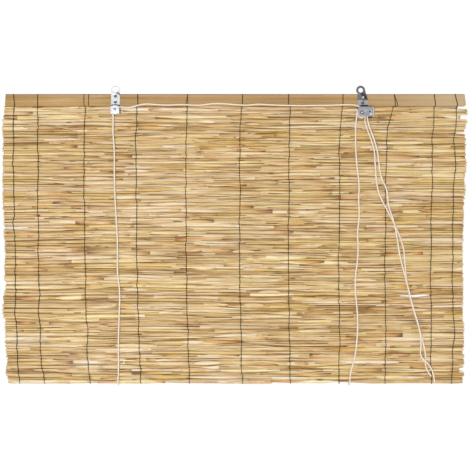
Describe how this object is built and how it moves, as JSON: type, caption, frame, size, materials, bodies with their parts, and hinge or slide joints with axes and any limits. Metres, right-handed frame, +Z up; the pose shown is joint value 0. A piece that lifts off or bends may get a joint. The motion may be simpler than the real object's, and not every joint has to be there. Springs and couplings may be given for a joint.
{
  "type": "roll up blind",
  "caption": "Bamboo roll up blind: reed mat bound with dark threads under a flat head batten, with hanging eyes, pulley, cord lock and white lift cords.",
  "frame": {"origin": "midway between the centres of the two hanging eye holes, in the middle of the plates' thickness", "axes": "+X to the right along the batten as seen from the front, -Y towards the viewer, +Z up"},
  "size_m": [0.8995, 0.0265, 0.5849],
  "materials": {
    "bamboo_lath": "satin",
    "reed": "satin",
    "binding_thread": "matte",
    "zinc_sheet": "zinc plated",
    "rivet_steel": "zinc plated",
    "screw_steel": "zinc plated",
    "sheave_plastic": "moulded",
    "white_cord": "braided"
  },
  "bodies": {
    "blind": {"head_batten": "bamboo_lath", "reed_mat": "reed", "binding_thread_01": "binding_thread", "binding_thread_02": "binding_thread", "binding_thread_03": "binding_thread", "binding_thread_04": "binding_thread", "binding_thread_05": "binding_thread", "binding_thread_06": "binding_thread", "binding_thread_07": "binding_thread", "binding_thread_08": "binding_thread", "binding_thread_09": "binding_thread", "binding_thread_10": "binding_thread", "binding_thread_11": "binding_thread", "left_bracket": "zinc_sheet", "lock_bracket": "zinc_sheet", "left_axle": "rivet_steel", "lock_axle": "rivet_steel", "bracket_screws": "screw_steel", "cord_staples": "screw_steel", "left_knot": "white_cord", "right_knot": "white_cord", "left_cord": "white_cord", "right_cord": "white_cord"},
    "left_pulley": {"left_sheave": "sheave_plastic"},
    "lock_pulley_rear": {"lock_sheave_rear": "sheave_plastic"},
    "lock_pulley_front": {"lock_sheave_front": "sheave_plastic"},
    "lock_roller": {"lock_roller": "rivet_steel"}
  },
  "joints": [
    {"name": "left_sheave_spin", "type": "hinge", "parent": "blind", "child": "left_pulley", "pos_m": [-0.239, -0.0034, -0.0373], "axis": [0, 1, 0], "continuous": true},
    {"name": "lock_sheave_rear_spin", "type": "hinge", "parent": "blind", "child": "lock_pulley_rear", "pos_m": [0.24, -0.0032, -0.045], "axis": [0, 1, 0], "continuous": true},
    {"name": "lock_sheave_front_spin", "type": "hinge", "parent": "blind", "child": "lock_pulley_front", "pos_m": [0.24, -0.0081, -0.045], "axis": [0, 1, 0], "continuous": true},
    {"name": "lock_roller_slide", "type": "slide", "parent": "blind", "child": "lock_roller", "axis": [-0.3328, 0, 0.943], "range_m": [0, 0.00541]}
  ]
}
